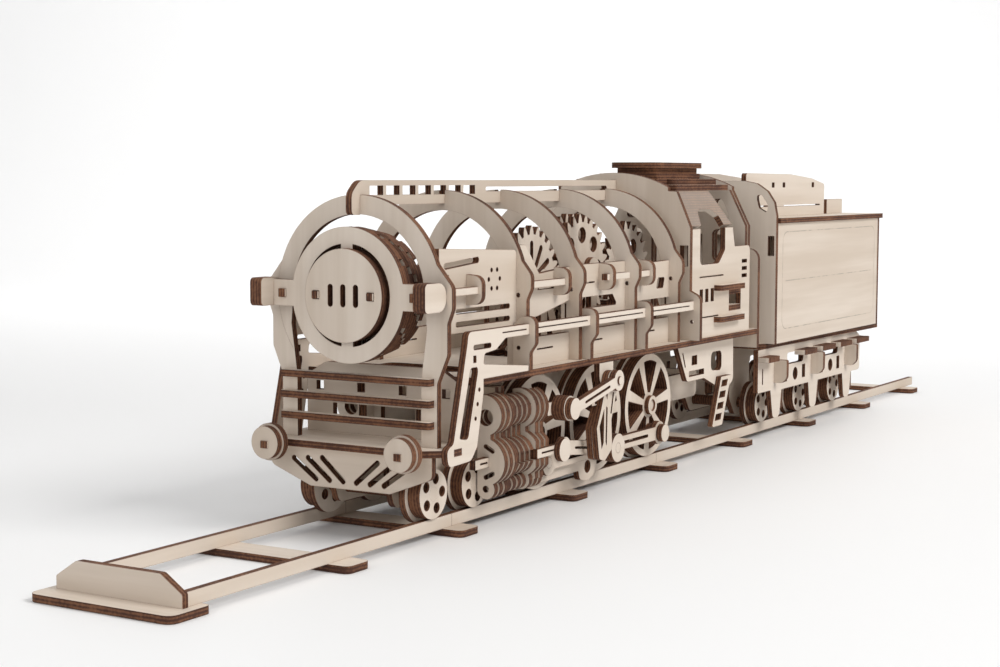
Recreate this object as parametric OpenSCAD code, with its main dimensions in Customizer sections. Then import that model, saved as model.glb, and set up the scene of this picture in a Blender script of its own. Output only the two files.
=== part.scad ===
// Laser-cut plywood steam locomotive with tender on a straight wooden track.
// X runs along the track towards the tender, Y across it, Z up from the table.
// Lengths along X are counted from the front face of the smokebox arch.

/* [Plywood] */
// Thickness of every plywood sheet
ply = 3; // [3:0.1:3.2]

/* [Track] */
// Length of the whole track
track_length = 808; // [800:1:840]
// Height of a rail, which stands on edge
rail_height = 5.5; // [5:0.1:6]
// Distance between the outer faces of the two rails
rail_span = 59.2; // [58.8:0.1:59.6]
// Length of a sleeper, across the track
sleeper_length = 79; // [74:1:84]

/* [Wheels] */
// Rolling radius of a driving wheel
driver_r = 26.6; // [26:0.1:26.8]
// Rolling radius of the small wheels
small_r = 10.7; // [10:0.1:11]
// Radius of every axle
axle_r = 3; // [2.5:0.1:3.2]
// Distance from a driving axle to its crank pin
crank_throw = 14; // [13:0.1:14]

/* [Boiler] */
// Height of the boiler's centre line above the table
boiler_z = 103.5; // [103:0.1:104]
// Outer radius of a boiler rib
rib_r = 43.5; // [43:0.1:44]
// Inner radius of a boiler rib
rib_inner_r = 34.5; // [34:0.1:35]

/* [Gears] */
// Gear module, pitch diameter over tooth count
gear_module = 2; // [2:0.1:2.1]
// Pressure angle of the teeth
pressure_angle = 25; // [22:1:27]
// Gap left between meshing teeth
backlash = 0.5; // [0.4:0.1:0.8]

/* [Hidden] */

// Curve fineness: above 12 a circle is a true circle
$fn = 48;
// The arch's front face lies this far behind the middle of the track
arch_x = -246.5;
// Clearance between an axle or pin and its bore
running_fit = 0.05;
// Gap between a wheel and the rail, and between rods that slide past each other
gap = 0.3;

track_front = -arch_x - track_length / 2;
track_rear = track_front + track_length;
rail_outer = rail_span / 2;
rail_top = ply + rail_height;
driver_z = rail_top + gap + driver_r;
small_z = rail_top + gap + small_r;

driver_x = [98.6, 156.6, 214.6];
leading_x = [11, 44];
tender_x = [366, 425, 484];
rib_x = [65.7, 114.4, 171.4, 221];
cab_x = 233.4;

wheel_face = 31;
rod_layer = wheel_face + ply + 2 * gap;
main_layer = rod_layer + ply + gap;
cross_layer = main_layer + ply + gap;
link_layer = 43.8;
pin_r = 2.5;

frame_y = 16;
board_z = 65.2;
board_top = board_z + ply;
beam_z = 38;
beam_bottom = 141;
leg_outer = 44.2;
rail_y = 47.5;
side_inner = rail_y - ply;
panel_y = 39;
side_y = 45;

teeth_pinion = 16;
teeth_idler = 24;
teeth_centre = 26;
teeth_front = 25;
teeth_rear = 24;
idler_pos = [144.6, 73.6];
centre_pos = [182, 106.8];

wood = "burlywood";
dark_wood = "peru";
pale_wood = "wheat";

// ---------- helpers ----------

function unit(v) = v / norm(v);

// Points of one corner [x, y, r], rounded with radius r, or less where its edges are short
function corner(a, p, b) =
    let (at = [p[0], p[1]], to_a = [a[0], a[1]] - at, to_b = [b[0], b[1]] - at, u = unit(to_a), v = unit(to_b))
    p[2] == 0 ? [at] :
    let (half = acos(u * v) / 2, reach = min(p[2] / tan(half), 0.48 * min(norm(to_a), norm(to_b))),
         r = reach * tan(half), c = at + unit(u + v) * r / sin(half),
         s = at + u * reach - c, e = at + v * reach - c,
         a0 = atan2(s[1], s[0]), turn = (atan2(e[1], e[0]) - a0 + 540) % 360 - 180)
    [for (i = [0:4]) c + r * [cos(a0 + turn * i / 4), sin(a0 + turn * i / 4)]];

// Outline through corners [x, y, r], each rounded with its own radius
function outline(p) =
    let (n = len(p))
    [for (i = [0:n - 1]) each corner(p[(i + n - 1) % n], p[i], p[(i + 1) % n])];

module plate_shape(p) {
    polygon(outline(p));
}

// Puts the train's coordinates into the part's frame
module place() {
    translate([arch_x, 0, 0]) children();
}

// Level sheet with its underside at z
module level(z, t = ply) {
    translate([0, 0, z]) linear_extrude(t) children();
}

// Upright sheet across the train, drawn in Y and Z, from x backwards
module across(x, t = ply) {
    translate([x, 0, 0]) rotate([90, 0, 90]) linear_extrude(t) children();
}

// Upright sheet along the train on the left side, drawn in X and Z, outer face at y
module along(y, t = ply) {
    translate([0, -y + t, 0]) rotate([90, 0, 0]) linear_extrude(t) children();
}

// Repeats the left side on the right side
module both_sides() {
    children();
    mirror([0, 1, 0]) children();
}

// Slot with round ends between two points
module slot(a, b, w) {
    d = b - a;
    translate(a) rotate(atan2(d[1], d[0])) {
        translate([0, -w / 2]) square([norm(d), w]);
        circle(w / 2);
        translate([norm(d), 0]) circle(w / 2);
    }
}

// Repeats a flat shape, mirrored left to right
module halves() {
    children();
    mirror([1, 0]) children();
}

module box_at(x0, x1, z0, z1) {
    translate([x0, z0]) square([x1 - x0, z1 - z0]);
}

module disc_at(p, r) {
    translate(p) circle(r);
}

// Rod that lies across the train on the left side, from y0 outwards to y1
module cross_pin(p, r, y0, y1) {
    translate([p[0], -y0, p[1]]) rotate([90, 0, 0]) cylinder(h = y1 - y0, r = r);
}

module axle(p, half) {
    translate([p[0], half, p[1]]) rotate([90, 0, 0]) cylinder(h = 2 * half, r = axle_r);
}

// ---------- track ----------

module track_base() {
    color(wood) place() level(0)
        plate_shape([[track_front, -34, 4], [track_front + 21, -34, 2], [track_front + 21, 34, 2],
                     [track_front, 34, 4]]);
}

module buffer_stop() {
    color(wood) place() across(-147)
        plate_shape([[-30, 3, 0], [30, 3, 0], [30, 8, 1], [20, 14.5, 3], [-20, 14.5, 3], [-30, 8, 1]]);
}

sleeper_w = 15;
sleeper_x = concat([-62], [for (i = [0:6]) 20 + 100 * i]);

module sleepers() {
    half = sleeper_length / 2;
    color(dark_wood) place() level(0) for (x = sleeper_x)
        plate_shape([[x, -half, 3], [x + sleeper_w, -half, 3], [x + sleeper_w, half, 3], [x, half, 3]]);
}

rail_start = -144;
rail_joints = [27.5, 227.5, 427.5];
joint_gap = 0.15;

module rails() {
    starts = concat([rail_start], rail_joints);
    ends = concat([for (x = rail_joints) x - joint_gap], [track_rear]);
    color(pale_wood) place() both_sides() for (i = [0:3])
        along(rail_outer) box_at(starts[i], ends[i], ply, rail_top);
}

// ---------- locomotive frame ----------

module frame_sides() {
    color(dark_wood) place() both_sides() along(frame_y) difference() {
        plate_shape([[0, 24, 0], [4, 13, 4], [52, 13, 4], [66, 26, 4], [230, 26, 4],
                     [262, 30, 6], [306, 30, 4], [306, board_z, 0], [25, board_z, 2], [24.5, beam_z, 0],
                     [0, beam_z, 0]]);
        for (x = leading_x) disc_at([x, small_z], axle_r + running_fit);
        for (x = driver_x) disc_at([x, driver_z], axle_r + running_fit);
        for (x = [66, 124, 182]) plate_shape([[x, 46, 3], [x + 7, 46, 3], [x + 7, 58, 3], [x, 58, 3]]);
        plate_shape([[246, 44, 3], [294, 44, 3], [294, 58, 3], [246, 58, 3]]);
    }
}

module frame_stretchers() {
    inner = frame_y - ply;
    color(dark_wood) place() for (x = [30, 74, 190, 250, 300])
        across(x) difference() {
            translate([-inner, 42]) square([2 * inner, board_z - 42]);
            box_at(-9, 9, 45, 56);
        }
}

module running_board() {
    side = 46.2;
    color(wood) place() level(board_z) difference() {
        plate_shape([[25.2, -side, 0], [323.8, -side, 3], [323.8, side, 3], [25.2, side, 0]]);
        translate([110, -12.9]) square([70, 25.8]);
        plate_shape([[40, -24, 4], [60, -24, 4], [60, 24, 4], [40, 24, 4]]);
        plate_shape([[240, -28, 6], [300, -28, 6], [300, 28, 6], [240, 28, 6]]);
    }
}

// ---------- boiler ----------

arch_r = 42;
arch_inner_r = 33.8;

module front_arch() {
    color(wood) place() across(0) difference() {
        union() {
            disc_at([0, boiler_z], arch_r);
            halves() plate_shape([[0, 110, 0], [34, 124, 0], [47.3, 108, 5],
                [47.3, 99, 5], [45, 93, 3], [45, 80, 4], [40, 68, 4], [40, beam_z + ply, 0], [0, beam_z + ply, 0]]);
        }
        disc_at([0, boiler_z], arch_inner_r);
        plate_shape([[-arch_inner_r, boiler_z, 0], [-35, 90, 3], [-32, 68, 3], [-32, 40, 0], [32, 40, 0],
                     [32, 68, 3], [35, 90, 3], [arch_inner_r, boiler_z, 0]]);
        box_at(-ply / 2, ply / 2, beam_bottom, 160);
    }
}

// One boiler rib, its feet on the running board
module rib_shape() {
    difference() {
        union() {
            disc_at([0, boiler_z], rib_r);
            halves()
                plate_shape([[0, 120, 0], [32, 128, 0], [46.5, 110, 5], [46.5, 104, 4],
                             [leg_outer, 99, 3], [leg_outer, board_top, 0], [0, board_top, 0]]);
        }
        disc_at([0, boiler_z], rib_inner_r);
        box_at(-rib_inner_r, rib_inner_r, board_z - 10, boiler_z);
        box_at(-ply / 2, ply / 2, beam_bottom, 160);
        for (y = [-40, 40]) {
            disc_at([y, 101], 1);
            slot([y - sign(y) * 3, 84], [y - sign(y) * 3, 94], 0.8);
        }
    }
}

module boiler_ribs() {
    color(wood) place() for (x = rib_x) across(x) rib_shape();
}

module spine_beam() {
    color(pale_wood) place() along(ply / 2) difference() {
        plate_shape([[-6, 137, 2], [0, 137, 0], [0, beam_bottom, 0], [cab_x + ply, beam_bottom, 0],
                     [cab_x + ply, 151.5, 0], [0, 151.5, 7], [-6, 146, 5]]);
        for (i = [0:6]) box_at(7 + 12.4 * i, 17 + 12.4 * i, 145.2, 149.2);
        slot([102, 147.4], [cab_x - 12, 147.4], 2.2);
    }
}

drum_r = 19.4;
tab_half = 3;

// Gap round the middle of a smokebox sheet, bridged at the top and at the bottom
module drum_gap() {
    difference() {
        disc_at([0, boiler_z], 21.7);
        disc_at([0, boiler_z], drum_r);
        box_at(-tab_half, tab_half, boiler_z - 24, boiler_z + 24);
    }
}

// Generic stencil: three bars pierced through the middle of the door
module stencil_bars() {
    for (i = [-1:1]) slot([6.5 * i, boiler_z - 3.5], [6.5 * i, boiler_z + 3.5], 2.6);
}

module smokebox_rings() {
    color(dark_wood) place() for (i = [0:4])
        across(-4.5 + 3.6 * i) difference() {
            disc_at([0, boiler_z], 28.7 - 0.6 * i);
            drum_gap();
            stencil_bars();
            for (a = [i * 7:30:359 + i]) translate([0, boiler_z]) rotate(a)
                translate([26.4 - 0.6 * i, -1.6]) square([4, 3.2]);
        }
}

door_x = -7.5;
ring_r = 28.7;

module door_ring() {
    color(pale_wood) place() across(door_x) difference() {
        union() {
            disc_at([0, boiler_z], ring_r);
            plate_shape([[-38.7, 98, 0], [38.7, 98, 0], [38.7, 109.2, 0], [-38.7, 109.2, 0]]);
        }
        drum_gap();
        stencil_bars();
        for (s = [-1, 1]) translate([s * 33.7, boiler_z]) square(3.6, center = true);
    }
}

module door_disc() {
    color(pale_wood) place() across(door_x - ply) difference() {
        disc_at([0, boiler_z], 19.7);
        stencil_bars();
        for (s = [-1, 1]) translate([s * 14, boiler_z]) square(3.6, center = true);
    }
}

module door_lugs() {
    color(pale_wood) place() both_sides() {
        along(44.7, 2 * ply) plate_shape([[-16, 98, 2], [0, 98, 6], [0, 110, 6], [-16, 110, 2]]);
        along(35.4, 3.4) box_at(-8.5, -4.5, boiler_z - 1.8, boiler_z + 1.8);
        along(15.5) box_at(-11.4, door_x, boiler_z - 1.5, boiler_z + 1.5);
    }
}

module grille_bars() {
    color(dark_wood) place() for (z = [49, 58, 67])
        level(z) plate_shape([[-4, -38.5, 1], [0, -38.5, 0], [0, 38.5, 0], [-4, 38.5, 1]]);
}

module grille_panel() {
    color(wood) place() across(17.6) difference() {
        plate_shape([[-40, beam_z + ply, 0], [40, beam_z + ply, 0], [40, 66, 2], [30, 72, 6], [-30, 72, 6],
                     [-40, 66, 2]]);
        halves() {
            translate([10.9, 61.5]) square(4, center = true);
            translate([33, 61.5]) square(4, center = true);
        }
        box_at(-26, 26, 46, 54);
    }
}

module bumper_beam() {
    color(wood) place() level(beam_z) {
        plate_shape([[-10, -37, 1], [-4, -side_inner, 2], [24, -side_inner, 0], [24, side_inner, 0],
                     [-4, side_inner, 2], [-10, 37, 1]]);
        for (y = [-side_inner - ply, side_inner]) translate([1.2, y]) square([6, ply]);
    }
}

buffer_x = -20.4;
buffer_y = 34.2;
buffer_z = 40.3;
peg_half = 1.8;

module buffer_discs() {
    color(pale_wood) place() for (s = [-1, 1], i = [0, 1])
        across(buffer_x + ply * i) difference() {
            disc_at([s * buffer_y, buffer_z], 7 + i);
            translate([s * buffer_y - peg_half, beam_z]) square([2 * peg_half, ply]);
        }
}

module buffer_pegs() {
    color(dark_wood) place() both_sides() along(buffer_y + peg_half, 2 * peg_half)
        box_at(buffer_x - 0.6, -10, beam_z, beam_z + ply);
}

module cowcatcher() {
    color(pale_wood) place() across(-6.3) difference() {
        plate_shape([[-20.6, 21.1, 3], [20.6, 21.1, 3], [41.5, 29, 3], [41.5, beam_z, 0], [-41.5, beam_z, 0],
                     [-41.5, 29, 3]]);
        halves() for (i = [0:2])
            slot([3.4 + 7.1 * i, 24.3], [14.3 + 7.5 * i, 33.6 - 0.6 * i], 2.4);
    }
}

// Handrail, the inclined brace at its front and the brace's foot, cut from one sheet
module side_rails() {
    color(pale_wood) place() both_sides() along(rail_y) difference() {
        plate_shape([[12.4, 88.8, 4], [11.6, 84, 0], [0.8, 43.2, 3], [-4.2, 41.5, 3], [-3.2, 34, 3],
                     [14.5, 34.6, 4], [19.3, 40, 3], [24.4, 62.6, 2], [24.4, board_top, 0],
                     [62, board_top, 0], [62, 70.6, 0], [24.3, 74.4, 1], [25, 78.9, 2], [34.5, 79.8, 3],
                     [42.5, 84.2, 3], [cab_x + ply, 84.2, 0], [cab_x + ply, 88.8, 0]]);
        plate_shape([[5.4, 44.8, 1], [12, 43.8, 2], [19.8, 71.5, 2], [19.5, 73.7, 1], [14, 73.7, 2]]);
        slot([17.4, 82], [29.5, 82], 2.2);
        box_at(16.2, 18.6, 75.6, 78.6);
        for (p = [[18, 52], [19.6, 58], [21, 64]]) disc_at(p, 0.9);
        box_at(1.2, 7.2, beam_z, beam_z + ply);
        for (s = [[40, 60], [70, 116.5], [127, 174], [184, 228]]) slot([s[0], 86.6], [s[1], 86.6], 0.5);
    }
}

bracket_x = [62.7, 119.5, 177];

// Rounded bracket that carries the handrail
module bracket_shape() {
    difference() {
        plate_shape([[-leg_outer + 5.2, board_top, 0], [-leg_outer + 5.2, 88, 4], [-43, 92, 3], [-50.5, 92, 4],
                     [-50.5, 80, 3], [-47.6, 76, 3], [-47.6, board_top, 0]]);
        box_at(-rail_y, -rail_y + ply, 84.2, 88.8);
    }
}

module rail_brackets() {
    color(wood) place() both_sides() for (x = bracket_x) across(x) difference() {
        bracket_shape();
        disc_at([-42, 78], 0.9);
    }
}

// ---------- boiler side ----------

module boiler_panels() {
    color(pale_wood) place() both_sides() along(panel_y) {
        difference() {
            plate_shape([[ply, 87.5, 0], [rib_x[0], 87.5, 0], [rib_x[0], 121, 2], [ply, 123.5, 0]]);
            for (z = [91.2, 96.6]) slot([17, z], [59, z], 2.2);
            slot([8, 116], [33, 117.8], 2.6);
            for (z = [99.5, 104.5, 109.5]) box_at(6, 10.5, z, z + 2.8);
            for (a = [0:60:300]) disc_at([47, 109] + 4.6 * [cos(a), sin(a)], 1);
        }
        difference() {
            plate_shape([[rib_x[0] + ply, 90, 0], [84, 90.3, 2], [rib_x[1], 96, 0], [rib_x[1], 111.5, 0],
                         [86, 109.5, 1], [74, 123, 1], [rib_x[0] + ply, 123, 0]]);
            slot([85, 102.6], [102, 102.6], 0.7);
        }
        difference() {
            plate_shape([[rib_x[1] + ply, 88, 0], [rib_x[2], 88, 0], [rib_x[2], 112, 0],
                         [rib_x[1] + ply, 112, 0]]);
            plate_shape([[126, 91, 1], [163, 91, 1], [158, 96.5, 1], [126, 96.5, 1]]);
            slot([129, 103.2], [139, 103.2], 0.7);
        }
        difference() {
            plate_shape([[rib_x[2] + ply, 91.5, 0], [rib_x[3], 91.5, 0], [rib_x[3], 110.5, 0],
                         [rib_x[2] + ply, 109.4, 0]]);
            plate_shape([[206, 96.5, 1], [214, 96.5, 1], [216, 102, 1], [208, 102, 1]]);
        }
        for (i = [0:2]) difference() {
            box_at(rib_x[i] + ply, rib_x[i + 1], board_top, 81);
            slot([rib_x[i] + 19, 75.4], [rib_x[i] + 33, 75.4], 0.7);
        }
    }
}

stud_x = [24, 99.5, 143.5, 186.5];
peg_z = 105.5;

module stud_shape(z) {
    difference() {
        plate_shape([[-panel_y, z - 6.5, 0], [-panel_y, z + 6.5, 0], [-46.8, z + 6, 4], [-46.8, z - 6, 4]]);
        box_at(-45, -42, z - 1.5, z + 1.5);
    }
}

module panel_studs() {
    color(wood) place() both_sides() for (x = stud_x) across(x) stud_shape(peg_z);
}

module panel_pegs() {
    starts = [ply, rib_x[0] + ply, 141, rib_x[2] + ply];
    ends = [29, 104, 164.5, 191];
    color(pale_wood) place() both_sides() for (i = [0:3])
        along(side_y) box_at(starts[i], ends[i], peg_z - 1.5, peg_z + 1.5);
}

// ---------- cylinders and valve gear ----------

cylinder_inner = 31.6;
cylinder_pitch = 4.3;
piston_z = 29;
tie_z = 47;

// Lobed outline of one cylinder sheet, drawn on the left side
module cylinder_shape(shrink) {
    intersection() {
        union() {
            disc_at([-35, 49.5], 9 - shrink);
            disc_at([-35, piston_z], 10.6 - shrink);
            disc_at([-36, 17], 4.5 - shrink / 2);
            box_at(-38.4 + shrink, -30, 17, 52);
        }
        box_at(-50, -cylinder_inner, 10, 62);
    }
}

module cylinder_blocks() {
    color(dark_wood) place() both_sides() {
        for (i = [0:9]) across(45 + cylinder_pitch * i) difference() {
            intersection() {
                union() {
                    cylinder_shape(i > 2 && i < 7 ? 1.8 : 0);
                    if (i > 7) box_at(-cross_layer + 0.2, -main_layer, 17, 52);
                }
                if (i > 7) box_at(-50, -main_layer, 10, 62); else box_at(-50, -30, 10, 62);
            }
            if (i < 2) {
                disc_at([-36, 48.5], 3.6);
                disc_at([-36, 17], 1.5);
                box_at(-37.6, -34.4, piston_z - 2.2, piston_z + 2.2);
                for (s = [-1, 1]) slot([-39.5, piston_z + 5 * s], [-36, piston_z + 6.8 * s], 2);
            }
            if (i > 1) box_at(-cross_layer, -cross_layer + ply, tie_z, tie_z + 5);
            if (i > 2) box_at(-50, -cross_layer + 0.2, piston_z - 2.4, piston_z + 2.4);
            if (i > 6) box_at(-50, -cross_layer - ply + gap, piston_z - 6.5, piston_z + 6.5);
        }
        along(cross_layer) box_at(45 + 2 * cylinder_pitch, 45 + 9 * cylinder_pitch + ply, tie_z, tie_z + 5);
        for (x = [60, 65]) across(x) difference() {
            box_at(-cylinder_inner, -frame_y, 24, 60);
            disc_at([-24, 42], 4);
        }
    }
}

module guide_plates() {
    color(pale_wood) place() both_sides() {
        along(wheel_face + gap + ply) difference() {
            plate_shape([[82, 12, 1], [133, 12.5, 1], [134, 8, 4], [142, 6.5, 5], [150, 9, 5], [150, 16, 1],
                         [141, 18.6, 1], [108, 18.8, 1], [102, 16.6, 1], [84, 16.6, 1]]);
            disc_at([142, 13.5], 3.1);
        }
        along(37.5) difference() {
            box_at(34, 49.3, piston_z - 2.1, piston_z + 2.1);
            box_at(38, 44, piston_z - 0.4, piston_z + 0.4);
        }
    }
}

valve_pos = [95.4, 48];
link_pos = [138.5, 56.8];

// Two-ended rod with a long slot, from a to b
module rod_shape(a, b, r, half) {
    d = b - a;
    difference() {
        union() {
            disc_at(a, r);
            disc_at(b, r);
            translate(a) rotate(atan2(d[1], d[0])) translate([0, -half]) square([norm(d), 2 * half]);
        }
        slot(a + 10 * unit(d), b - 10 * unit(d), 1.2);
    }
}

module valve_rods() {
    color(pale_wood) place() both_sides() {
        along(53.1) difference() {
            rod_shape(valve_pos, link_pos, 5, 2.6);
            disc_at(link_pos, 2);
        }
        along(50.1, 6.7) disc_at(valve_pos, 5.8);
        along(46.4) difference() {
            plate_shape([[131, board_z, 0], [131, 54, 5], [145, 54, 5], [145, board_z, 0]]);
            disc_at(link_pos, 2);
        }
        along(43.4, 2.2) box_at(45 + 9 * cylinder_pitch + ply, 98, valve_pos[1] - 3, valve_pos[1] + 3);
        cross_pin(link_pos, 2, 43.4, 54);
    }
}

module valve_links() {
    color(wood) place() both_sides() {
        along(49.8) difference() {
            plate_shape([[134.5, 61.5, 4], [129, 50, 3], [126.5, 44, 2], [122.2, 35.5, 1], [125, 20.5, 2],
                         [130.5, 19, 3], [138, 24, 3], [137, 38, 4], [142.5, 52, 4], [142.5, 61.5, 4]]);
            disc_at(link_pos, 2 + running_fit);
            plate_shape([[129.6, 44, 0], [125, 36, 0], [127.2, 25, 0], [129.2, 28, 0]]);
            plate_shape([[131.6, 45, 0], [133, 44, 0], [132.4, 26, 0], [131.1, 28, 0]]);
            plate_shape([[131, 51.5, 0], [132.6, 48, 0], [133.3, 53.5, 0]]);
            slot([136.6, 41.5], [138.8, 50.5], 1.2);
        }
        along(49.8 - ply) difference() {
            plate_shape([[128, 45, 2], [122, 35.5, 1], [124.5, 20.5, 2], [130.5, 19, 3], [138.2, 24, 3],
                         [138.6, 45, 2]]);
            plate_shape([[129.6, 43, 0], [125, 36, 0], [127.2, 25, 0], [133.3, 25, 0], [133.8, 43, 0]]);
        }
    }
}

module crossheads() {
    color(pale_wood) place() both_sides() {
        along(cross_layer + ply) difference() {
            box_at(76, 101, piston_z - 2.1, piston_z + 2.1);
            box_at(80, 91, piston_z - 0.4, piston_z + 0.4);
            disc_at([96.5, piston_z], 1.5);
        }
        along(cross_layer + 2 * ply) disc_at([96.5, piston_z - 0.5], 5.4);
    }
}

crank_z = driver_z - crank_throw;

module coupling_rods() {
    color(pale_wood) place() both_sides() along(rod_layer + ply) difference() {
        union() {
            for (x = driver_x) disc_at([x, crank_z], 6);
            box_at(driver_x[0], driver_x[2], crank_z - 3.4, crank_z + 3.4);
        }
        for (x = driver_x) disc_at([x, crank_z], pin_r + running_fit);
        for (i = [0:1]) slot([driver_x[i] + 14, crank_z], [driver_x[i + 1] - 14, crank_z], 1.6);
    }
}

main_front = [108, 27.6];

module main_rods() {
    big_end = [driver_x[1], crank_z];
    color(pale_wood) place() both_sides() {
        along(main_layer + ply) difference() {
            rod_shape(main_front, big_end, 5, 3.4);
            disc_at(big_end, pin_r + running_fit);
        }
        along(link_layer - gap, link_layer - gap - main_layer - ply) difference() {
            disc_at(big_end, 7);
            disc_at(big_end, pin_r + running_fit);
        }
        along(main_layer + ply) difference() {
            disc_at(big_end, 7);
            disc_at(big_end, pin_r + running_fit);
        }
    }
}

// ---------- wheels ----------

// Spoked disc of the driving wheels, centred on the axle
module spoked_disc(r) {
    difference() {
        circle(r);
        difference() {
            circle(23.2);
            circle(6.6);
            for (i = [0:6]) rotate(8 + i * 360 / 7) polygon([[5, -1.4], [24, -3], [24, 3], [5, 1.4]]);
        }
        circle(axle_r + 0.02);
    }
}

// Driving wheel on the left side: spoked face, tread and flange
module driving_wheel(x) {
    translate([x, 0, driver_z]) {
        along(wheel_face) spoked_disc(driver_r);
        along(wheel_face - ply) spoked_disc(driver_r);
        along(wheel_face - 2 * ply) spoked_disc(driver_r + 1.6);
        along(wheel_face + gap + 2.2, 2.5 - gap) difference() {
            circle(5);
            circle(axle_r + 0.02);
        }
    }
}

// Axle, two wheels and two crank pins that reach out to y = reach
module driving_wheelset(x, reach) {
    color(wood) place() {
        both_sides() {
            driving_wheel(x);
            cross_pin([x, crank_z], pin_r, wheel_face - 0.02, reach);
            cross_pin([x, crank_z], 4.4, wheel_face, rod_layer - gap);
        }
        axle([x, driver_z], wheel_face + 1.5);
    }
}

module cap(x, inner) {
    color(wood) place() both_sides() along(inner + ply) disc_at([x, crank_z], 4.6);
}

module driving_wheelset_front() {
    driving_wheelset(driver_x[0], rod_layer + ply);
}

module driving_wheelset_middle() {
    driving_wheelset(driver_x[1], link_layer - gap);
    color(wood) place() translate([driver_x[1], ply / 2, driver_z]) rotate([90, 0, 0])
        linear_extrude(ply) gear_shape(teeth_pinion, pinion_angle);
}

module driving_wheelset_rear() {
    driving_wheelset(driver_x[2], rod_layer + ply + gap);
    cap(driver_x[2], rod_layer + ply + gap);
}

// Small wheel sheet with five holes; the flange is the same sheet, larger
module small_disc(r) {
    difference() {
        circle(r);
        for (i = [0:4]) rotate(3 + 72 * i) translate([6.6, 0]) circle(2.3);
        circle(axle_r + 0.02);
    }
}

module small_wheelset(x) {
    color(wood) place() {
        both_sides() translate([x, 0, small_z]) {
            along(wheel_face) small_disc(small_r);
            along(wheel_face - ply) small_disc(small_r);
            along(wheel_face - 2 * ply) small_disc(small_r + 2.2);
        }
        axle([x, small_z], wheel_face);
    }
}

module leading_wheelset_front() {
    small_wheelset(leading_x[0]);
}

module leading_wheelset_rear() {
    small_wheelset(leading_x[1]);
}

module tender_wheelset_front() {
    small_wheelset(tender_x[0]);
}

module tender_wheelset_middle() {
    small_wheelset(tender_x[1]);
}

module tender_wheelset_rear() {
    small_wheelset(tender_x[2]);
}

// ---------- gears ----------

function pitch_r(teeth) = gear_module * teeth / 2;

function involute(r, base) = let (t = sqrt(pow(r / base, 2) - 1)) t * 180 / PI - atan(t);

// Half of a tooth's angle at radius r
function tooth_half(teeth, r) =
    let (base = pitch_r(teeth) * cos(pressure_angle), p = pitch_r(teeth))
    90 / teeth - backlash / p * 90 / PI + involute(p, base) - involute(max(r, base), base);

// One tooth's flank radii, from root to tip
function flank(teeth) =
    let (p = pitch_r(teeth), lo = p - 1.2 * gear_module, hi = p + 0.9 * gear_module)
    [for (i = [0:5]) lo + (hi - lo) * i / 5];

module gear_shape(teeth, angle) {
    polygon([for (k = [0:teeth - 1]) let (mid = angle + k * 360 / teeth) each concat(
        [for (r = flank(teeth)) r * [cos(mid - tooth_half(teeth, r)), sin(mid - tooth_half(teeth, r))]],
        [for (i = [5:-1:0]) let (r = flank(teeth)[i])
            r * [cos(mid + tooth_half(teeth, r)), sin(mid + tooth_half(teeth, r))]])]);
}

// Angle of a tooth of gear b, which meshes with a gear whose tooth stands at angle a
function mesh_angle(a, ta, tb, dir) = dir + 180 - 180 / tb + (dir - a) * ta / tb;

function heading(a, b) = atan2(b[1] - a[1], b[0] - a[0]);

pinion_pos = [driver_x[1], driver_z];
pinion_angle = 0;
front_pos = centre_pos + [-50.86, -3.8];
rear_pos = centre_pos + [49.93, -2.6];
idler_angle = mesh_angle(pinion_angle, teeth_pinion, teeth_idler, heading(pinion_pos, idler_pos));
centre_angle = mesh_angle(idler_angle, teeth_idler, teeth_centre, heading(idler_pos, centre_pos));
front_angle = mesh_angle(centre_angle, teeth_centre, teeth_front, heading(centre_pos, front_pos));
rear_angle = mesh_angle(centre_angle, teeth_centre, teeth_rear, heading(centre_pos, rear_pos));
shaft_r = 2.5;
train_y = 9;

// Gear sheet with its outer face at y, and openings in its web
module gear_sheet(pos, teeth, angle, y) {
    along(y) translate(pos) difference() {
        gear_shape(teeth, angle);
        circle(shaft_r + 0.02);
        children();
    }
}

module shaft(pos, reach) {
    translate([pos[0], reach, pos[1]]) rotate([90, 0, 0]) cylinder(h = 2 * reach, r = shaft_r);
}

module round_holes(count, at, r) {
    for (i = [0:count - 1]) rotate(360 / count * i) translate([at, 0]) circle(r);
}

module slot_holes(count, inner, outer, w) {
    for (i = [0:count - 1]) rotate(360 / count * i) slot([inner, 0], [outer, 0], w);
}

module idler_gear() {
    color(wood) place() {
        gear_sheet(idler_pos, teeth_idler, idler_angle, ply / 2) round_holes(6, 12, 4);
        shaft(idler_pos, frame_y);
    }
}

module centre_gear() {
    color(wood) place() {
        gear_sheet(centre_pos, teeth_centre, centre_angle, ply / 2) round_holes(6, 15, 4);
        gear_sheet(centre_pos, teeth_centre, centre_angle, train_y) round_holes(8, 17, 4);
        shaft(centre_pos, frame_y);
    }
}

module front_gear() {
    color(wood) place() {
        gear_sheet(front_pos, teeth_front, front_angle, train_y) slot_holes(12, 9, 18, 3);
        shaft(front_pos, frame_y);
    }
}

module rear_gear() {
    color(wood) place() {
        gear_sheet(rear_pos, teeth_rear, rear_angle, train_y) round_holes(6, 14, 4);
        shaft(rear_pos, frame_y);
    }
}

module gear_frames() {
    shafts = [idler_pos, centre_pos, front_pos, rear_pos];
    color(dark_wood) place() both_sides() along(frame_y) difference() {
        intersection() {
            union() {
                for (p = shafts) disc_at(p, 6);
                for (i = [0, 2, 3]) slot(centre_pos, shafts[i], 6);
                slot(idler_pos, front_pos, 6);
                for (p = shafts) box_at(p[0] - 3, p[0] + 3, board_top, p[1]);
            }
            box_at(cab_x - 180, cab_x + 40, board_top, beam_bottom);
        }
        for (p = shafts) disc_at(p, shaft_r + running_fit);
    }
}

// ---------- cab ----------

roof_z = 146;
slant_z = 126;
slant_angle = 26.3;
wall_arch_r = 72;
wall_arch_z = 83.3;

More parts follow.
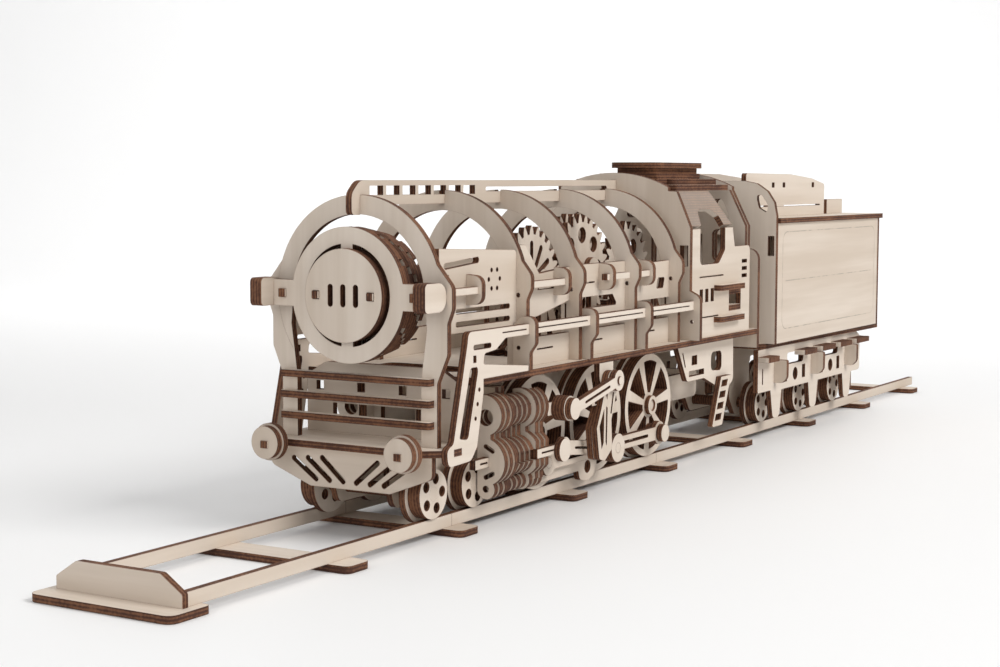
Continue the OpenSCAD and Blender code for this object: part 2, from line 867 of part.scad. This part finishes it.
// Outline shared by the cab's walls, arched above the roof sheet's underside where top is true
module cab_wall_shape(top) {
    intersection() {
        plate_shape([[-side_y + ply, board_top, 0], [side_y - ply, board_top, 0], [side_y - ply, slant_z, 0],
                     [32, roof_z, 0], [32, 160, 0], [-32, 160, 0], [-32, roof_z, 0],
                     [-side_y + ply, slant_z, 0]]);
        if (top) disc_at([0, wall_arch_z], wall_arch_r); else box_at(-50, 50, 60, roof_z);
    }
}

module cab_front() {
    color(wood) place() across(cab_x) difference() {
        union() {
            cab_wall_shape(true);
            halves()
                plate_shape([[-36, board_top, 0], [-36, slant_z, 0], [-30, 146, 0], [-36.8, 145.6, 0],
                             [-41.5, 135, 2], [-45, 126.7, 2], [-45, 94, 0], [-51, 91, 4],
                             [-51, board_top, 0]]);
        }
        disc_at([0, boiler_z], rib_inner_r);
        box_at(-rib_inner_r, rib_inner_r, board_z - 10, boiler_z);
        box_at(-ply / 2, ply / 2, beam_bottom, 151.5);
        halves() {
            box_at(-rail_y, -rail_y + ply, 84.2, 88.8);
            box_at(-43.9, -39.2, 106.8, 117.6);
            disc_at([-46.5, 78], 1);
        }
    }
}

cab_end = 312;

module cab_sides() {
    color(pale_wood) place() both_sides() along(side_y) difference() {
        plate_shape([[cab_x + ply, board_top, 0], [cab_end, board_top, 0], [cab_end, 115.5, 3],
                     [291, 115.5, 0], [288, slant_z, 0], [cab_x + ply, slant_z, 0]]);
        plate_shape([[246, 107, 3], [270, 107, 6], [278, 114, 2], [278, 127, 0], [246, 127, 0]]);
        box_at(284, 300, 80.5, 92.5);
        slot([246, 100.5], [276, 100.5], 0.7);
        slot([246, 79], [270, 79], 0.7);
        for (z = [98, 102, 106]) box_at(301, 308, z, z + 2);
        for (i = [0:2]) box_at(246 + 7 * i, 250 + 7 * i, 87, 94);
    }
}

// Upper side panels, leaning in towards the roof
module cab_slants() {
    color(pale_wood) place() both_sides()
        translate([0, -side_y, slant_z]) rotate([-slant_angle, 0, 0]) translate([0, ply, 0])
            rotate([90, 0, 0]) linear_extrude(ply) difference() {
                plate_shape([[cab_x + ply, 1.8, 0], [288, 1.8, 0], [283, 12, 3], [277, 22.2, 3],
                             [cab_x + ply, 22.2, 0]]);
                plate_shape([[248, 0, 0], [278, 0, 0], [276, 7, 3], [268, 11.2, 5], [252, 11.2, 4]]);
            }
}

module cab_roof() {
    color(wood) place() {
        level(roof_z) plate_shape([[cab_x + ply, -35.5, 1], [306, -35.5, 5], [306, 35.5, 5],
                                   [cab_x + ply, 35.5, 1]]);
        level(roof_z + ply) plate_shape([[250, -28, 2], [306, -28, 4], [306, 28, 4], [250, 28, 2]]);
        level(roof_z + 2 * ply) plate_shape([[250, -18, 2], [306, -18, 4], [306, 18, 4], [250, 18, 2]]);
        for (y = [-24, -9, 6, 21]) translate([cab_x + ply, y, roof_z + ply]) cube([12, ply, ply]);
    }
}

module roof_vent() {
    vent_z = roof_z + 3 * ply;
    color(wood) place() {
        level(vent_z) plate_shape([[258, -12, 4], [315, -12, 4], [315, 12, 4], [258, 12, 4]]);
        level(vent_z + ply) difference() {
            plate_shape([[254, -15, 8], [318, -15, 8], [318, 15, 8], [254, 15, 8]]);
            for (i = [0:5]) translate([262 + 8.5 * i, -9]) square([4, 18]);
        }
    }
}

module cab_rear() {
    color(wood) place() {
        for (x = [cab_end, cab_end + 4]) across(x) difference() {
            cab_wall_shape(x > cab_end);
            plate_shape([[-16, board_top - 1, 0], [16, board_top - 1, 0], [16, 128, 8], [-16, 128, 8]]);
            halves() {
                plate_shape([[22, 106, 3], [35, 106, 3], [35, 124, 3], [22, 124, 3]]);
                plate_shape([[22, 130, 3], [33, 130, 2], [28, 141, 3], [22, 141, 3]]);
            }
        }
        across(323.8) difference() {
            plate_shape([[-side_y, tender_z, 0], [side_y, tender_z, 0], [side_y, 113, 6], [30, 113, 0],
                         [16, 74, 4], [-16, 74, 4], [-30, 113, 0], [-side_y, 113, 6]]);
            halves() plate_shape([[28, 80, 3], [38, 80, 3], [38, 104, 3], [34, 104, 3]]);
        }
    }
}

module cab_steps() {
    color(dark_wood) place() both_sides() {
        for (z = [75.5, 92.5]) level(z) plate_shape([[264.4, -49.5, 2], [297, -49.5, 2], [297, -side_y, 0],
                                                     [264.4, -side_y, 0]]);
        for (z = [80.5, 89.5]) level(z) translate([284, -side_y]) square([16, 15]);
    }
}

module firebox_sides() {
    color(wood) place() both_sides() along(38) difference() {
        plate_shape([[233.7, board_z, 0], [246.6, 44.6, 3], [268.2, 44.7, 3], [282.8, 39.4, 6], [300.4, 37.1, 5],
                     [307.2, 39.8, 4], [306.6, board_z, 0]]);
        box_at(252, 259, 53, 58);
        box_at(249, 268, 47, 50);
        slot([244, 53], [241, 60], 1.2);
        plate_shape([[277, 48, 3], [291, 47, 3], [291, 58, 3], [277, 58, 3]]);
    }
}

module ladders() {
    color(pale_wood) place() both_sides() along(41) difference() {
        plate_shape([[272.8, 17.3, 1], [286.1, 17.3, 1], [297.5, 44, 0], [284.2, 44, 0]]);
        for (i = [0:3]) plate_shape([[276.2 + 2.6 * i, 20.5 + 6 * i, 0], [283.9 + 2.6 * i, 20.5 + 6 * i, 0],
                                     [285.4 + 2.6 * i, 24 + 6 * i, 0], [277.7 + 2.6 * i, 24 + 6 * i, 0]]);
    }
}

// ---------- tender ----------

tender_front = 349;
tender_rear = 526;
tender_z = 57;
tender_top = 129.7;

module tender_floor() {
    color(wood) place() {
        level(tender_z - ply) plate_shape([[344, -40, 8], [532, -44, 2], [532, 44, 2], [344, 40, 8]]);
        level(tender_top - ply) difference() {
            box_at(tender_front + ply, 528, -47, 47);
            plate_shape([[392, -20, 4], [474, -20, 4], [474, 20, 4], [392, 20, 4]]);
        }
    }
}

module tender_sides() {
    color(pale_wood) place() both_sides() along(side_y + 0.4)
        box_at(tender_front + ply, tender_rear - ply, tender_z, tender_top - ply);
}

module tender_ends() {
    half = side_y + 0.4;
    color(wood) place() {
        across(tender_front) difference() {
            plate_shape([[-half, tender_z, 0], [half, tender_z, 0], [half, 151, 20], [-half, 151, 20]]);
            plate_shape([[-14, tender_z + 14, 4], [14, tender_z + 14, 4], [14, 120, 6], [-14, 120, 6]]);
            halves() {
                plate_shape([[-33.3, 140, 1], [-33.2, 142.9, 1], [-36.3, 142.9, 1], [-40.1, 137.2, 1],
                             [-39.6, 132.6, 1], [-34.6, 135.4, 1]]);
                box_at(-44.2, -40.4, 108, 119.4);
            }
        }
        across(tender_rear - ply) difference() {
            box_at(-half, half, tender_z, tender_top - ply);
            for (y = [-24, 0, 24]) translate([y - 6, 78]) square([12, 3]);
        }
    }
}

module coal_bunker() {
    color(pale_wood) place() {
        both_sides() along(25) difference() {
            plate_shape([[352, tender_top, 0], [478, tender_top, 0], [478, 149, 2], [455, 152.6, 20],
                         [420, 155, 30], [352, 155.5, 2]]);
            for (x = [391, 408, 456]) box_at(x, x + 4, 147, 150);
            slot([360, 136], [470, 136], 0.8);
        }
        both_sides() along(22) box_at(491, 519, tender_top, 139);
    }
}

module tender_frames() {
    color(pale_wood) place() both_sides() {
        along(40) difference() {
            plate_shape([[338, 29, 1], [357, 29, 0], [361, 12, 4], [371, 12, 4], [374, 28, 1], [417, 28, 0],
                         [420, 12, 4], [430, 12, 4], [433, 28, 1], [476, 28, 0], [479, 12, 4], [489, 12, 4],
                         [492, 28, 1], [508, 28, 3], [508, 50, 3], [500, 54, 0], [338, 54, 0]]);
            for (x = [395.5, 454.5]) {
                disc_at([x, 35.5], 3.8);
                plate_shape([[x - 12, 42, 2], [x + 12, 42, 2], [x + 14, 49, 2], [x - 14, 49, 2]]);
            }
            for (x = [380, 409, 439, 468]) box_at(x - 2.5, x + 2.5, 32, 40);
            slot([345, 34], [345, 42], 1.4);
        }
        along(frame_y) difference() {
            plate_shape([[352, 24, 2], [360, 13, 4], [490, 13, 4], [500, 24, 2], [500, 54, 0], [352, 54, 0]]);
            for (x = tender_x) disc_at([x, small_z], axle_r + running_fit);
            for (x = [395.5, 454.5]) plate_shape([[x - 14, 20, 3], [x + 14, 20, 3], [x + 14, 46, 3],
                                                  [x - 14, 46, 3]]);
        }
    }
}

module tender_studs() {
    color(wood) place() both_sides() {
        for (x = tender_x) {
            across(x - 4) plate_shape([[-40, 33, 0], [-40, 46.7, 0], [-48, 46.7, 1], [-48, 36, 4],
                                       [-45, 33, 3]]);
            across(x + 14) plate_shape([[-37, 16, 0], [-37, 27, 0], [-32.5, 27, 1], [-32.5, 16, 1]]);
        }
        for (p = [[338, 355], [394, 415], [424, 447], [455, 476], [484, 508]])
            level(47) plate_shape([[p[0], -47, 2], [p[1], -47, 2], [p[1], -40, 0], [p[0], -40, 0]]);
    }
}

track_base();
buffer_stop();
sleepers();
rails();
frame_sides();
frame_stretchers();
running_board();
front_arch();
boiler_ribs();
spine_beam();
smokebox_rings();
door_ring();
door_disc();
door_lugs();
grille_bars();
grille_panel();
bumper_beam();
buffer_discs();
buffer_pegs();
cowcatcher();
side_rails();
rail_brackets();
boiler_panels();
panel_studs();
panel_pegs();
cylinder_blocks();
guide_plates();
valve_rods();
cab_front();
cab_sides();
cab_slants();
cab_roof();
roof_vent();
cab_rear();
cab_steps();
firebox_sides();
ladders();
gear_frames();
leading_wheelset_front();
leading_wheelset_rear();
driving_wheelset_front();
driving_wheelset_middle();
driving_wheelset_rear();
coupling_rods();
main_rods();
crossheads();
valve_links();
idler_gear();
centre_gear();
front_gear();
rear_gear();
tender_floor();
tender_sides();
tender_ends();
coal_bunker();
tender_frames();
tender_studs();
tender_wheelset_front();
tender_wheelset_middle();
tender_wheelset_rear();
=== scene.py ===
"""Laser-cut plywood locomotive with tender on a wooden track: looks, light and camera."""

import math

import bmesh
import bpy
from mathutils import Euler, Matrix, Vector


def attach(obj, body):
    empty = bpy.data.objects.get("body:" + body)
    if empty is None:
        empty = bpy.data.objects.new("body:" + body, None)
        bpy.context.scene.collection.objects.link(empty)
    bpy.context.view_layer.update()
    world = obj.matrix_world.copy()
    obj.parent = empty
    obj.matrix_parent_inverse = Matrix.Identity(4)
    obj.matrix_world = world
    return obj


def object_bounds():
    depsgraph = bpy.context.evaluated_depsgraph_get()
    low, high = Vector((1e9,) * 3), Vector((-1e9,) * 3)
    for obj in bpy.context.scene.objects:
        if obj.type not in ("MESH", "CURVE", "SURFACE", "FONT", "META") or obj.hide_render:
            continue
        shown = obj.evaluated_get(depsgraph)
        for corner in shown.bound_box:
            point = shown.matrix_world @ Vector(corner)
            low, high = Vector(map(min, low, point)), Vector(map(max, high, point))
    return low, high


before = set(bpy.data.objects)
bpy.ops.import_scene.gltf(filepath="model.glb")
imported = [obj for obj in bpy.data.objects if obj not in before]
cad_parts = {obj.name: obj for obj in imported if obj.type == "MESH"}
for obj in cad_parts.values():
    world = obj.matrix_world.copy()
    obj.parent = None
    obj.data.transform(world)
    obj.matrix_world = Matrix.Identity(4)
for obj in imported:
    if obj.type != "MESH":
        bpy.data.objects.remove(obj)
cad_low, cad_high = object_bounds()
scene = bpy.context.scene
MM = 0.001

# ---------------------------------------------------------------- camera

CAMERA_PLACE = Vector((-0.8593, -0.4386, 0.1530))
CAMERA_YAW = 31.016             # degrees from +X towards +Y
CAMERA_PITCH = 5.014            # degrees below level
CAMERA_ROLL = 0.1265            # degrees
CAMERA_LENS = 64.26             # mm
CAMERA_SENSOR_WIDTH = 36.0      # mm
CAMERA_CLIP = (0.02, 30.0)      # m, near and far


def make_camera():
    data = bpy.data.cameras.new("camera")
    data.lens = CAMERA_LENS
    data.sensor_width = CAMERA_SENSOR_WIDTH
    data.clip_start, data.clip_end = CAMERA_CLIP
    camera = bpy.data.objects.new("camera", data)
    turn = Euler((math.radians(90 - CAMERA_PITCH), 0, math.radians(CAMERA_YAW - 90)))
    roll = Matrix.Rotation(math.radians(CAMERA_ROLL), 4, "Z")
    camera.matrix_world = Matrix.Translation(CAMERA_PLACE) @ turn.to_matrix().to_4x4() @ roll
    scene.collection.objects.link(camera)
    scene.camera = camera


# ---------------------------------------------------------------- light and floor

WORLD_STRENGTH = 0.36
KEY_COLOUR = (1.0, 0.99, 0.975)
WHITE = (1.0, 1.0, 1.0)
# Name, place, target, size (m), power (W), colour.
LIGHTS = [
    ("key", (0.0, -2.3, 2.0), (0, 0, 0.05), (1.6, 1.2), 60, KEY_COLOUR),
    ("front", (-2.0, -0.1, 0.9), (0, 0, 0.08), (1.6, 1.2), 9, WHITE),
    ("top", (0.3, 0.3, 2.2), (0, 0, 0.05), (2.2, 2.2), 12, WHITE),
    ("backdrop", (0.9, 0.6, 1.6), (2.8, 1.7, 0.4), (2.0, 1.2), 22, WHITE),
]

# Distances in m, along the camera's direction from the origin.
FLOOR_NEAR_END = -3.0
FLOOR_CURVE_START = 1.6
FLOOR_CURVE_RADIUS = 1.5
FLOOR_CURVE_STEPS = 24
FLOOR_TOP = 3.2
FLOOR_HALF_WIDTH = 4.0
FLOOR_GAP = 0.0002              # m below the lowest point of the track
FLOOR_COLOUR = (0.90, 0.90, 0.90)
FLOOR_ROUGHNESS = 0.55
FLOOR_SPECULAR = 0.25


def area_light(name, place, target, size, power, colour):
    data = bpy.data.lights.new(name, "AREA")
    data.shape = "RECTANGLE"
    data.size, data.size_y = size
    data.energy = power
    data.color = colour
    lamp = bpy.data.objects.new(name, data)
    lamp.location = place
    lamp.rotation_euler = (Vector(target) - Vector(place)).to_track_quat("-Z", "Y").to_euler()
    scene.collection.objects.link(lamp)


def make_world():
    world = bpy.data.worlds.new("studio")
    world.use_nodes = True
    background = world.node_tree.nodes["Background"]
    background.inputs["Color"].default_value = (*WHITE, 1)
    background.inputs["Strength"].default_value = WORLD_STRENGTH
    scene.world = world


def make_floor():
    """A seamless sweep: level under the object and rising in a wide curve far behind it."""
    yaw = math.radians(CAMERA_YAW)
    away = Vector((math.cos(yaw), math.sin(yaw), 0))
    aside = Vector((-away.y, away.x, 0))
    rows = [(FLOOR_NEAR_END, 0.0), (FLOOR_CURVE_START, 0.0)]
    for i in range(1, FLOOR_CURVE_STEPS + 1):
        angle = math.pi / 2 * i / FLOOR_CURVE_STEPS
        rows.append((FLOOR_CURVE_START + FLOOR_CURVE_RADIUS * math.sin(angle),
                     FLOOR_CURVE_RADIUS * (1 - math.cos(angle))))
    rows.append((FLOOR_CURVE_START + FLOOR_CURVE_RADIUS, FLOOR_TOP))
    mesh = bmesh.new()
    pairs = []
    for along, height in rows:
        middle = away * along + Vector((0, 0, height))
        pairs.append([mesh.verts.new(middle + aside * side * FLOOR_HALF_WIDTH)
                      for side in (-1, 1)])
    for near, far in zip(pairs, pairs[1:]):
        mesh.faces.new((near[0], near[1], far[1], far[0])).smooth = True
    data = bpy.data.meshes.new("floor")
    mesh.to_mesh(data)
    mesh.free()
    floor = bpy.data.objects.new("floor", data)
    floor.location.z = cad_low.z - FLOOR_GAP
    scene.collection.objects.link(floor)
    material = bpy.data.materials.new("floor")
    material.use_nodes = True
    shader = material.node_tree.nodes["Principled BSDF"]
    shader.inputs["Base Color"].default_value = (*FLOOR_COLOUR, 1)
    shader.inputs["Roughness"].default_value = FLOOR_ROUGHNESS
    shader.inputs["Specular IOR Level"].default_value = FLOOR_SPECULAR
    data.materials.append(material)


# ---------------------------------------------------------------- plywood

VENEER_LIGHT = (0.720, 0.630, 0.540)
VENEER_DARK = (0.590, 0.495, 0.405)
CHAR_DARK = (0.060, 0.022, 0.012)
CHAR_LIGHT = (0.195, 0.085, 0.042)
CORE = (0.270, 0.130, 0.065)
SCORED = (0.400, 0.340, 0.280)

# Noise scales, per m of object space.
BAND_SCALE = 9.0                # broad bands of the veneer
FIBRE_SCALE = 95.0
FLECK_SCALE = 300.0
PATCH_SCALE = 55.0              # where the laser burnt more or less
WANDER_SCALE = 90.0             # how the glue lines wander
STRIKE_SCALE = 700.0            # the laser's fine marks on a cut edge
SCORE_TONE_SCALE = 160.0

SQUARE_ON = (0.72, 0.90)        # how squarely a face meets the sheet's axis, edge to veneer
RIM_RADIUS = 0.0007             # m of browned veneer beside a cut
RIM_SAMPLES = 4
LAYER_PITCH = 0.0015            # m from one dark layer of the plywood to the next
RELIEF_STRENGTH = 0.35
RELIEF_DEPTH = 0.00012          # m
EDGE_ROUGHNESS = 0.80
FACE_ROUGHNESS = (0.62, 0.50)   # between the fibres and on them
SCORED_ROUGHNESS = 0.75
PLY_SPECULAR = 0.35


class Graph:
    """Short calls that add shader nodes to one material."""

    def __init__(self, material):
        material.use_nodes = True
        self.nodes = material.node_tree.nodes
        self.links = material.node_tree.links
        self.shader = self.nodes["Principled BSDF"]

    def add(self, kind, settings=(), **inputs):
        node = self.nodes.new(kind)
        for key, value in settings:
            setattr(node, key, value)
        for key, value in inputs.items():
            self.feed(node.inputs[key.replace("_", " ")], value)
        return node

    def feed(self, socket, value):
        if isinstance(value, bpy.types.NodeSocket):
            self.links.new(value, socket)
        else:
            socket.default_value = value

    def math(self, operation, a, b=0.0, c=0.0):
        node = self.nodes.new("ShaderNodeMath")
        node.operation = operation
        for socket, value in zip(node.inputs, (a, b, c)):
            self.feed(socket, value)
        return node.outputs[0]

    def vector(self, operation, a, b=(0, 0, 0), output="Vector"):
        node = self.nodes.new("ShaderNodeVectorMath")
        node.operation = operation
        self.feed(node.inputs[0], a)
        self.feed(node.inputs[1], b)
        return node.outputs[output]

    def noise(self, place, scale, detail=2.0, roughness=0.5, distortion=0.0):
        node = self.add("ShaderNodeTexNoise", Vector=place, Scale=scale, Detail=detail,
                        Roughness=roughness, Distortion=distortion)
        return node.outputs["Fac"]

    def ease(self, value, low, high, to_low=0.0, to_high=1.0):
        node = self.nodes.new("ShaderNodeMapRange")
        node.interpolation_type = "SMOOTHSTEP"
        for name, number in (("Value", value), ("From Min", low), ("From Max", high),
                             ("To Min", to_low), ("To Max", to_high)):
            self.feed(node.inputs[name], number)
        return node.outputs["Result"]

    def mix(self, factor, a, b):
        node = self.nodes.new("ShaderNodeMix")
        node.data_type = "RGBA"
        self.feed(node.inputs["Factor"], factor)
        for socket, value in ((node.inputs["A"], a), (node.inputs["B"], b)):
            self.feed(socket, value if isinstance(value, bpy.types.NodeSocket) else (*value, 1))
        return node.outputs["Result"]


def plywood(name, normal, grain, seed, shade):
    """3 mm birch plywood.

    normal: the sheet's own axis. grain: how the noise is scaled along X, Y and Z, which is
    least along the fibres. seed moves the noise, and shade lightens or darkens the veneer.
    """
    material = bpy.data.materials.new(name)
    graph = Graph(material)
    coordinate = graph.nodes.new("ShaderNodeTexCoord")
    place = graph.vector("ADD", coordinate.outputs["Object"], (seed, seed * 0.7, seed * 1.3))
    square_on = graph.vector("ABSOLUTE", coordinate.outputs["Normal"])
    facing = graph.vector("DOT_PRODUCT", square_on, normal, "Value")
    veneer = graph.ease(facing, *SQUARE_ON)

    # The veneer's face: bands and fibres, then small dark flecks.
    along = graph.vector("MULTIPLY", place, grain)
    bands = graph.noise(along, BAND_SCALE, 3.0, 0.55, 0.6)
    fibres = graph.noise(along, FIBRE_SCALE, 3.0, 0.65)
    flecks = graph.noise(along, FLECK_SCALE, 1.0, 0.5)
    tone = graph.math("MULTIPLY_ADD", bands, 0.55, graph.math("MULTIPLY", fibres, 0.50))
    tone = graph.math("ADD", tone, shade)
    face = graph.mix(graph.ease(tone, 0.34, 0.70), VENEER_DARK, VENEER_LIGHT)
    face = graph.mix(graph.ease(flecks, 0.66, 0.80, 0.0, 0.30), face, VENEER_DARK)

    # The thin browned rim beside each cut.
    rim = graph.add("ShaderNodeBevel", [("samples", RIM_SAMPLES)], Radius=RIM_RADIUS)
    bend = graph.vector("DOT_PRODUCT", rim.outputs[0],
                        graph.nodes.new("ShaderNodeNewGeometry").outputs["Normal"], "Value")
    burnt_rim = graph.ease(bend, 0.70, 0.985, 0.85, 0.0)
    patchy = graph.noise(place, PATCH_SCALE, 2.0)
    burnt_rim = graph.math("MULTIPLY", burnt_rim, graph.ease(patchy, 0.30, 0.75, 0.45, 1.0))
    face = graph.mix(burnt_rim, face, CHAR_LIGHT)

    # The cut edge: layers of the plywood under uneven char.
    depth = graph.vector("DOT_PRODUCT", place, normal, "Value")
    wander = graph.noise(place, WANDER_SCALE, 2.0)
    layer = graph.math("SINE", graph.math("MULTIPLY_ADD", depth, 2 * math.pi / LAYER_PITCH,
                                          graph.math("MULTIPLY", wander, 2.4)))
    strike = graph.noise(place, STRIKE_SCALE, 2.0, 0.6)
    burn = graph.math("MULTIPLY_ADD", layer, 0.11, graph.math("MULTIPLY_ADD", strike, 0.5, 0.18))
    burn = graph.math("ADD", burn, graph.math("MULTIPLY_ADD", patchy, 0.55, -0.28))
    edge = graph.mix(graph.ease(burn, 0.30, 0.62), CHAR_DARK, CHAR_LIGHT)
    edge = graph.mix(graph.ease(burn, 0.60, 0.88), edge, CORE)

    graph.feed(graph.shader.inputs["Base Color"], graph.mix(veneer, edge, face))
    rough = graph.add("ShaderNodeMix", [("data_type", "FLOAT")])
    graph.feed(rough.inputs["Factor"], veneer)
    graph.feed(rough.inputs["A"], EDGE_ROUGHNESS)
    graph.feed(rough.inputs["B"], graph.ease(fibres, 0.3, 0.7, *FACE_ROUGHNESS))
    graph.feed(graph.shader.inputs["Roughness"], rough.outputs["Result"])
    graph.shader.inputs["Specular IOR Level"].default_value = PLY_SPECULAR
    relief = graph.math("MULTIPLY_ADD", fibres, 0.6, graph.math("MULTIPLY", burn, 0.8))
    bump = graph.add("ShaderNodeBump", Strength=RELIEF_STRENGTH, Distance=RELIEF_DEPTH,
                     Height=relief)
    graph.feed(graph.shader.inputs["Normal"], bump.outputs["Normal"])
    return material


# Sheets stand across the train or along it, lie level, or slant. Fibres run along one axis.
ACROSS = (1, 0, 0)
ALONG = (0, 1, 0)
LEVEL = (0, 0, 1)
SLANT_ANGLE = math.radians(26.3)
SLANTED = (0, math.sin(SLANT_ANGLE), math.cos(SLANT_ANGLE))
FIBRES_Z = (1.0, 1.0, 0.06)
FIBRES_X = (0.06, 1.0, 1.0)
FIBRES_Y = (1.0, 0.06, 1.0)

SHEETS = {
    (ACROSS, FIBRES_Z): [
        "front_arch", "boiler_ribs", "smokebox_rings", "door_ring", "door_disc", "cab_front",
        "cab_rear", "tender_ends", "rail_brackets", "cylinder_blocks", "buffer_discs",
        "panel_studs", "tender_studs"],
    (ACROSS, FIBRES_Y): ["buffer_stop", "frame_stretchers", "grille_panel", "cowcatcher"],
    (ALONG, FIBRES_X): [
        "rails", "frame_sides", "spine_beam", "door_lugs", "buffer_pegs", "side_rails",
        "boiler_panels", "panel_pegs", "guide_plates", "valve_rods", "cab_sides",
        "firebox_sides", "coupling_rods", "main_rods", "crossheads", "tender_sides",
        "coal_bunker", "tender_frames"],
    (ALONG, FIBRES_Z): [
        "ladders", "gear_frames", "leading_wheelset_front", "leading_wheelset_rear",
        "driving_wheelset_front", "driving_wheelset_middle", "driving_wheelset_rear",
        "valve_links", "idler_gear", "centre_gear", "front_gear", "rear_gear",
        "tender_wheelset_front", "tender_wheelset_middle", "tender_wheelset_rear"],
    (LEVEL, FIBRES_X): ["running_board", "cab_roof", "roof_vent", "tender_floor"],
    (LEVEL, FIBRES_Y): ["track_base", "sleepers", "grille_bars", "bumper_beam", "cab_steps"],
    (SLANTED, FIBRES_X): ["cab_slants"],
}

SEED_STEP = 0.37                # from one node's grain to the next
SHADE_SWING = 0.04              # most that a node's veneer is lighter or darker
SHADE_RATE = 9.0


def finish_sheets():
    """Gives each CAD node its own cut of plywood, so that no two nodes share one grain."""
    seed = 0.0
    for (normal, fibres), names in SHEETS.items():
        for name in names:
            seed += SEED_STEP
            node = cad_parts[name]
            node.data.materials.clear()
            shade = SHADE_SWING * math.sin(seed * SHADE_RATE)
            node.data.materials.append(plywood("ply_" + name, normal, fibres, seed, shade))


# ---------------------------------------------------------------- scored lines

# All in mm. X counts from the smokebox arch's front face.
ARCH_X = -246.5                 # where that face is in the shared frame
SCORE_DEPTH = 0.05              # how far a line stands proud of its sheet, and is sunk in it
SCORE_WIDTH = 0.5
CORNER_STEPS = 6
TENDER_FACE_Y = 45.4
BORDER_LOW = (359.5, 65.0)
BORDER_HIGH = (517.0, 121.5)
BORDER_RADIUS = 6.0
MIDDLE_LINE = [(363.0, 93.0), (512.0, 93.0)]


def train(x, y, z):
    """A point given in mm from the smokebox arch, in the shared frame."""
    return Vector(((x + ARCH_X) * MM, y * MM, z * MM))


def rounded_loop(low, high, radius):
    """The points of a rounded rectangle in X and Z, as a closed loop."""
    points = []
    centres = [(high[0] - radius, high[1] - radius, 0), (low[0] + radius, high[1] - radius, 90),
               (low[0] + radius, low[1] + radius, 180), (high[0] - radius, low[1] + radius, 270)]
    for x, z, start in centres:
        for i in range(CORNER_STEPS + 1):
            angle = math.radians(start + 90 * i / CORNER_STEPS)
            points.append((x + radius * math.cos(angle), z + radius * math.sin(angle)))
    return points


def strip(mesh, points, closed, face_y, side):
    """A thin band along points, half sunk in the outer face of a sheet that stands at face_y."""
    count = len(points)
    corners = ((-1, -SCORE_DEPTH), (-1, SCORE_DEPTH), (1, SCORE_DEPTH), (1, -SCORE_DEPTH))
    rings = []
    for i, (x, z) in enumerate(points):
        before = points[(i - 1) % count] if closed or i else (x, z)
        after = points[(i + 1) % count] if closed or i < count - 1 else (x, z)
        run = Vector((after[0] - before[0], after[1] - before[1])).normalized()
        out = Vector((-run.y, run.x)) * SCORE_WIDTH / 2
        rings.append([
            mesh.verts.new(train(x + sign * out.x, side * (face_y + depth), z + sign * out.y))
            for sign, depth in corners])
    for i in range(count if closed else count - 1):
        near, far = rings[i], rings[(i + 1) % count]
        for k in range(4):
            mesh.faces.new((near[k], near[(k + 1) % 4], far[(k + 1) % 4], far[k]))
    if not closed:
        mesh.faces.new(rings[0])
        mesh.faces.new(rings[-1][::-1])


def scored_lines(name, body, face_y, lines):
    """One piece with the same scored lines on the left and right sides. lines: (points, closed)."""
    mesh = bmesh.new()
    for side in (-1, 1):
        for points, closed in lines:
            strip(mesh, points, closed, face_y, side)
    bmesh.ops.recalc_face_normals(mesh, faces=mesh.faces)
    data = bpy.data.meshes.new(name)
    mesh.to_mesh(data)
    mesh.free()
    piece = bpy.data.objects.new(name, data)
    scene.collection.objects.link(piece)
    material = bpy.data.materials.new(name)
    graph = Graph(material)
    coordinate = graph.nodes.new("ShaderNodeTexCoord")
    tone = graph.noise(coordinate.outputs["Object"], SCORE_TONE_SCALE, 2.0)
    graph.feed(graph.shader.inputs["Base Color"],
               graph.mix(graph.ease(tone, 0.35, 0.65), SCORED, VENEER_DARK))
    graph.shader.inputs["Roughness"].default_value = SCORED_ROUGHNESS
    data.materials.append(material)
    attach(piece, body)


# ---------------------------------------------------------------- the scene

make_camera()
make_world()
make_floor()
for light in LIGHTS:
    area_light(*light)
finish_sheets()
border = rounded_loop(BORDER_LOW, BORDER_HIGH, BORDER_RADIUS)
scored_lines("tender_score", "tender", TENDER_FACE_Y, [(border, True), (MIDDLE_LINE, False)])
scene.view_settings.view_transform = "Standard"
